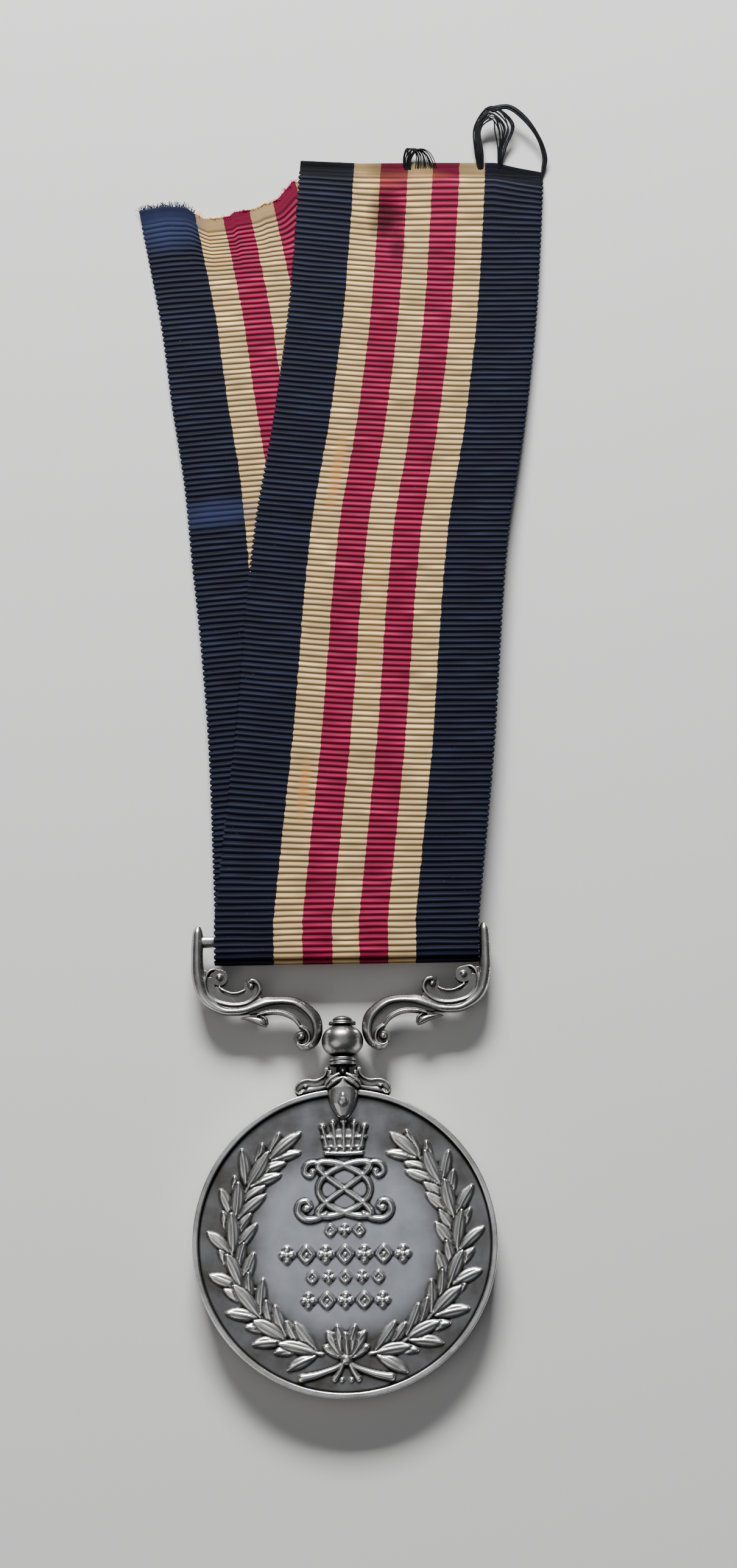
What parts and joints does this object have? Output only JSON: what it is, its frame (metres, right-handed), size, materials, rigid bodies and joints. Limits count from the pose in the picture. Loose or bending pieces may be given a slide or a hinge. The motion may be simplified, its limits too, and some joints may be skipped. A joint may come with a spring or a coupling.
{
  "type": "medal with ribbon",
  "caption": "Round struck silver medal on a swivelling scroll suspender, with a striped ribbed ribbon folded over its bar.",
  "frame": {"origin": "centre of the disc's back face, the plane of the rim that the medal lies on", "axes": "+Z out of the shown struck face, +Y from the disc along the swivel to the ribbon's ends, +X to the right"},
  "size_m": [0.0536, 0.167, 0.0054],
  "materials": {
    "disc_silver": "tarnished silver, satin with bright worn edges",
    "suspender_silver": "tarnished silver, satin with bright worn edges",
    "ribbon_silk": "ribbed silk, navy with cream and crimson stripes",
    "frayed_thread": "loose dark threads"
  },
  "bodies": {
    "medal": {"medal_disc": "disc_silver", "claw": "suspender_silver", "claw_pin": "suspender_silver", "swivel_post": "suspender_silver", "lower_ring": "suspender_silver", "upper_ring": "suspender_silver", "post_cap": "suspender_silver"},
    "suspender": {"swivel_ball": "suspender_silver", "left_scroll": "suspender_silver", "right_scroll": "suspender_silver", "ribbon_bar": "suspender_silver"},
    "ribbon": {"ribbon_fold": "ribbon_silk", "ribbon_back": "ribbon_silk", "back_fringe": "frayed_thread"},
    "front_leg": {"ribbon_front": "ribbon_silk", "thread_loop_large": "frayed_thread", "thread_loop_small": "frayed_thread"}
  },
  "joints": [
    {"name": "suspender_swivel", "type": "hinge", "parent": "medal", "child": "suspender", "pos_m": [0, 0.02393, 0.0015], "axis": [0, 1, 0], "continuous": true},
    {"name": "ribbon_swing", "type": "hinge", "parent": "suspender", "child": "ribbon", "pos_m": [0, 0.03628, 0.0015], "axis": [1, 0, 0], "range_deg": [-75, 75]},
    {"name": "ribbon_open", "type": "hinge", "parent": "ribbon", "child": "front_leg", "pos_m": [0, 0.03848, 0.00265], "axis": [1, 0, 0], "range_deg": [0, 70]}
  ]
}
